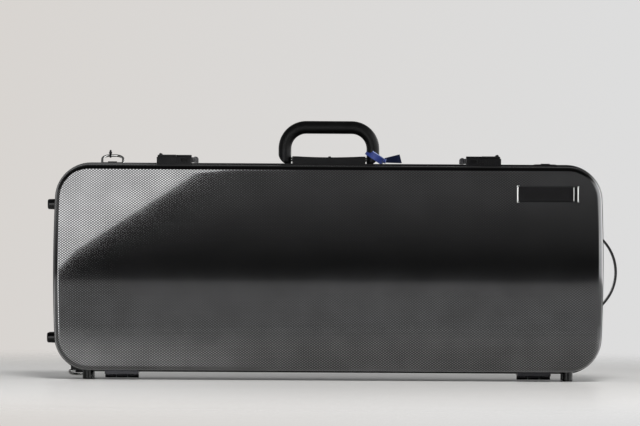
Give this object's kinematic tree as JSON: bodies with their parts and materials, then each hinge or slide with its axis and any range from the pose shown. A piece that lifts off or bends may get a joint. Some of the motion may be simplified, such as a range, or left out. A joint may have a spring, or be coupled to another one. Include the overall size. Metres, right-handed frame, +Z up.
{
  "type": "double violin case",
  "caption": "Hard rectangular case for two violins with a carbon-look shell, hinged lid, latches, carrying handle, strap rings and padded inside.",
  "frame": {"origin": "centre of the case's bounding box at the floor that its spine feet stand on", "axes": "+X along the case's length, +Y from the lid to the base, +Z up, with the case standing on its spine"},
  "size_m": [0.8206, 0.1666, 0.3714],
  "materials": {
    "carbon_laminate": "gloss clear coat over woven carbon",
    "rim_plastic": "satin",
    "seal_rubber": "matte",
    "lining_velvet": "short pile over foam",
    "black_nylon": "moulded, fine grain",
    "feet_plastic": "gloss",
    "grip_rubber": "soft matte",
    "blackened_steel": "black enamel",
    "bright_steel": "zinc plated",
    "black_webbing": "woven",
    "blue_ribbon": "satin weave"
  },
  "bodies": {
    "base": {"base_pad": "lining_velvet", "base_rim": "rim_plastic", "base_shell": "carbon_laminate", "end_feet": "feet_plastic", "grab_plates": "black_nylon", "grab_screws": "blackened_steel", "grab_strap": "black_webbing", "handle_pins": "bright_steel", "handle_saddle": "black_nylon", "hasp_pins": "bright_steel", "hinge_base_leaf_left": "blackened_steel", "hinge_base_leaf_right": "blackened_steel", "hinge_pins": "bright_steel", "hinge_rivets_base": "blackened_steel", "latch_housing_left": "black_nylon", "latch_housing_right": "black_nylon", "latch_rivets_base": "blackened_steel", "neck_rest_left": "lining_velvet", "neck_rest_right": "lining_velvet", "neck_strap_left": "black_webbing", "neck_strap_right": "black_webbing", "rim_seal": "seal_rubber", "saddle_screws": "bright_steel", "slide_springs": "bright_steel", "spine_feet_base": "feet_plastic", "spine_ring_mount": "black_nylon", "top_ring_mount_left": "black_nylon", "top_ring_mount_right": "black_nylon"},
    "lid": {"lid_shell": "carbon_laminate", "lid_rim": "rim_plastic", "lid_pad": "lining_velvet", "bow_clips": "black_nylon", "bow_pockets": "lining_velvet", "hinge_rivets_lid": "blackened_steel", "latch_rivets_lid": "blackened_steel", "spine_feet_lid": "feet_plastic", "name_plate": "feet_plastic", "hinge_lid_leaf_left": "blackened_steel", "hinge_lid_leaf_right": "blackened_steel", "latch_keeper_left": "black_nylon", "latch_keeper_right": "black_nylon"},
    "handle": {"handle_core": "bright_steel", "handle_grip": "grip_rubber", "handle_eyes": "black_nylon", "handle_ribbon": "blue_ribbon"},
    "hasp_left": {"latch_hasp_left": "blackened_steel"},
    "hasp_right": {"latch_hasp_right": "blackened_steel"},
    "slide_left": {"latch_slide_left": "black_nylon"},
    "slide_right": {"latch_slide_right": "black_nylon"},
    "ring_top_left": {"top_ring_left": "blackened_steel", "cable_tie": "black_nylon"},
    "ring_top_right": {"top_ring_right": "blackened_steel"},
    "ring_spine": {"spine_ring": "bright_steel"},
    "button_1": {"bow_button_1": "black_nylon"},
    "button_2": {"bow_button_2": "black_nylon"},
    "button_3": {"bow_button_3": "black_nylon"},
    "button_4": {"bow_button_4": "black_nylon"}
  },
  "joints": [
    {"name": "lid_hinge", "type": "hinge", "parent": "base", "child": "lid", "pos_m": [-0.00625, -0.01175, 0.0054], "axis": [1, 0, 0], "range_deg": [0, 105]},
    {"name": "handle_fold", "type": "hinge", "parent": "base", "child": "handle", "pos_m": [-0.00625, 0.01425, 0.316], "axis": [1, 0, 0], "range_deg": [-72, 72]},
    {"name": "hasp_left_lift", "type": "hinge", "parent": "base", "child": "hasp_left", "pos_m": [-0.23725, 0.02225, 0.3179], "axis": [-1, 0, 0], "range_deg": [0, 100]},
    {"name": "slide_left_push", "type": "slide", "parent": "base", "child": "slide_left", "axis": [-1, 0, 0], "range_m": [0, 0.0037], "stiffness_N_per_m": 300},
    {"name": "hasp_right_lift", "type": "hinge", "parent": "base", "child": "hasp_right", "pos_m": [0.22475, 0.02225, 0.3179], "axis": [-1, 0, 0], "range_deg": [0, 100]},
    {"name": "slide_right_push", "type": "slide", "parent": "base", "child": "slide_right", "axis": [1, 0, 0], "range_m": [0, 0.0037], "stiffness_N_per_m": 300},
    {"name": "ring_top_left_swing", "type": "hinge", "parent": "base", "child": "ring_top_left", "pos_m": [-0.31725, 0.00625, 0.3089], "axis": [1, 0, 0], "range_deg": [-24, 120]},
    {"name": "ring_top_right_swing", "type": "hinge", "parent": "base", "child": "ring_top_right", "pos_m": [0.30475, 0.00625, 0.3089], "axis": [1, 0, 0], "range_deg": [0, 147]},
    {"name": "ring_spine_swing", "type": "hinge", "parent": "base", "child": "ring_spine", "pos_m": [-0.36225, 0.00625, 0.0111], "axis": [1, 0, 0], "range_deg": [-76, 13]},
    {"name": "button_1_turn", "type": "hinge", "parent": "lid", "child": "button_1", "pos_m": [-0.30625, -0.06875, 0.2315], "axis": [0, 1, 0], "range_deg": [0, 90]},
    {"name": "button_2_turn", "type": "hinge", "parent": "lid", "child": "button_2", "pos_m": [0.29375, -0.06875, 0.1765], "axis": [0, -1, 0], "range_deg": [0, 90]},
    {"name": "button_3_turn", "type": "hinge", "parent": "lid", "child": "button_3", "pos_m": [-0.30625, -0.06875, 0.1165], "axis": [0, 1, 0], "range_deg": [0, 90]},
    {"name": "button_4_turn", "type": "hinge", "parent": "lid", "child": "button_4", "pos_m": [0.29375, -0.06875, 0.0615], "axis": [0, -1, 0], "range_deg": [0, 90]}
  ]
}
